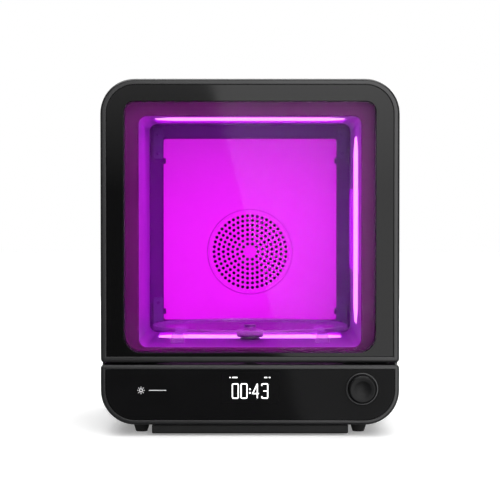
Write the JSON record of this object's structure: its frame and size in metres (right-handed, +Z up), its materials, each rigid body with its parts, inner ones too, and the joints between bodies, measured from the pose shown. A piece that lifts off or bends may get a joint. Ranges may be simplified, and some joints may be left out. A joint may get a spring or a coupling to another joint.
{
  "type": "resin print curing station",
  "caption": "Bench-top curing cabinet for resin prints: windowed side-hinged door, violet-lit chamber, turntable and a control strip with display and knob.",
  "frame": {"origin": "middle of the bounding box's underside, on the surface the feet stand on", "axes": "+Z up, the door and controls face -Y, +X to the right of someone facing the door"},
  "size_m": [0.285, 0.3234, 0.341],
  "materials": {
    "painted_metal_dark": "satin dark grey paint",
    "black_plastic": "fine texture",
    "knob_black": "satin",
    "gloss_black": "high gloss, dark",
    "chamber_painted": "light grey paint in violet light",
    "chamber_reflective": "bright reflective sheet",
    "chamber_dark": "dark grey paint in violet light",
    "lit_reflector": "bright sheet that glows evenly in the lamps' light",
    "clear_acrylic": "polished, clear",
    "window_tint": "tinted, polished",
    "lit_lens": "lit diffuser",
    "circuit_board": "solder mask",
    "bare_aluminium": "satin",
    "steel": "brushed",
    "trim_chrome": "dark polished ring",
    "brass": "turned",
    "rubber": "matte"
  },
  "bodies": {
    "cabinet": {"outer_shell": "painted_metal_dark", "rear_cover": "painted_metal_dark", "control_housing": "painted_metal_dark", "base_pan": "black_plastic", "door_sensor": "black_plastic", "circulation_fan_housing": "black_plastic", "cooling_fan_housing": "black_plastic", "power_inlet": "black_plastic", "power_switch_frame": "black_plastic", "control_panel": "gloss_black", "display_window": "gloss_black", "front_frame": "chamber_painted", "corner_bracket_1": "chamber_painted", "corner_bracket_2": "chamber_painted", "corner_bracket_3": "chamber_painted", "corner_bracket_4": "chamber_painted", "chamber_liner": "chamber_reflective", "chamber_back": "chamber_dark", "rear_reflector": "lit_reflector", "fan_grille": "lit_reflector", "support_post_1": "clear_acrylic", "support_post_2": "clear_acrylic", "support_post_3": "clear_acrylic", "support_post_4": "clear_acrylic", "light_window_top": "lit_lens", "light_window_side": "lit_lens", "light_window_floor": "lit_lens", "led_board_top": "circuit_board", "led_board_side": "circuit_board", "led_board_floor": "circuit_board", "main_board": "circuit_board", "display_board": "circuit_board", "heat_sink_top": "bare_aluminium", "heat_sink_side": "bare_aluminium", "air_heater": "bare_aluminium", "power_supply": "bare_aluminium", "latch_magnet": "steel", "hinge_arm_lower": "steel", "hinge_arm_upper": "steel", "turntable_gearmotor": "steel", "encoder_body": "steel", "knob_trim_ring": "trim_chrome", "shaft_bush": "brass", "foot_1": "rubber", "foot_2": "rubber", "foot_3": "rubber", "foot_4": "rubber", "chamber_gasket": "rubber"},
    "door": {"door_frame": "painted_metal_dark", "door_panel": "gloss_black", "door_window": "window_tint", "strike_plate": "steel"},
    "turntable": {"turntable_disc": "clear_acrylic", "drive_hub": "bare_aluminium", "drive_shaft": "steel"},
    "knob_plunger": {"encoder_plunger": "brass"},
    "knob": {"knob": "knob_black"},
    "circulation_fan": {"circulation_impeller": "black_plastic"},
    "cooling_fan": {"cooling_impeller": "black_plastic"},
    "rocker": {"power_rocker": "black_plastic"}
  },
  "joints": [
    {"name": "door_hinge", "type": "hinge", "parent": "cabinet", "child": "door", "pos_m": [-0.1335, -0.13765, 0.2], "axis": [0, 0, -1], "range_deg": [0, 95]},
    {"name": "turntable_spin", "type": "hinge", "parent": "cabinet", "child": "turntable", "pos_m": [0, -0.0177, 0.09], "axis": [0, 0, 1], "continuous": true},
    {"name": "knob_press", "type": "slide", "parent": "cabinet", "child": "knob_plunger", "axis": [0, 1, 0], "range_m": [0, 0.0012], "stiffness_N_per_m": 1500, "springref_m": -0.0004},
    {"name": "knob_turn", "type": "hinge", "parent": "knob_plunger", "child": "knob", "pos_m": [0.107, -0.156, 0.0454], "axis": [0, 1, 0], "continuous": true},
    {"name": "circulation_fan_spin", "type": "hinge", "parent": "cabinet", "child": "circulation_fan", "pos_m": [0, 0.10475, 0.1696], "axis": [0, 1, 0], "continuous": true},
    {"name": "cooling_fan_spin", "type": "hinge", "parent": "cabinet", "child": "cooling_fan", "pos_m": [-0.07, 0.14405, 0.262], "axis": [0, 1, 0], "continuous": true},
    {"name": "power_rocker_tilt", "type": "hinge", "parent": "cabinet", "child": "rocker", "pos_m": [0.052, 0.15655, 0.044], "axis": [-1, 0, 0], "range_deg": [0, 16]}
  ]
}
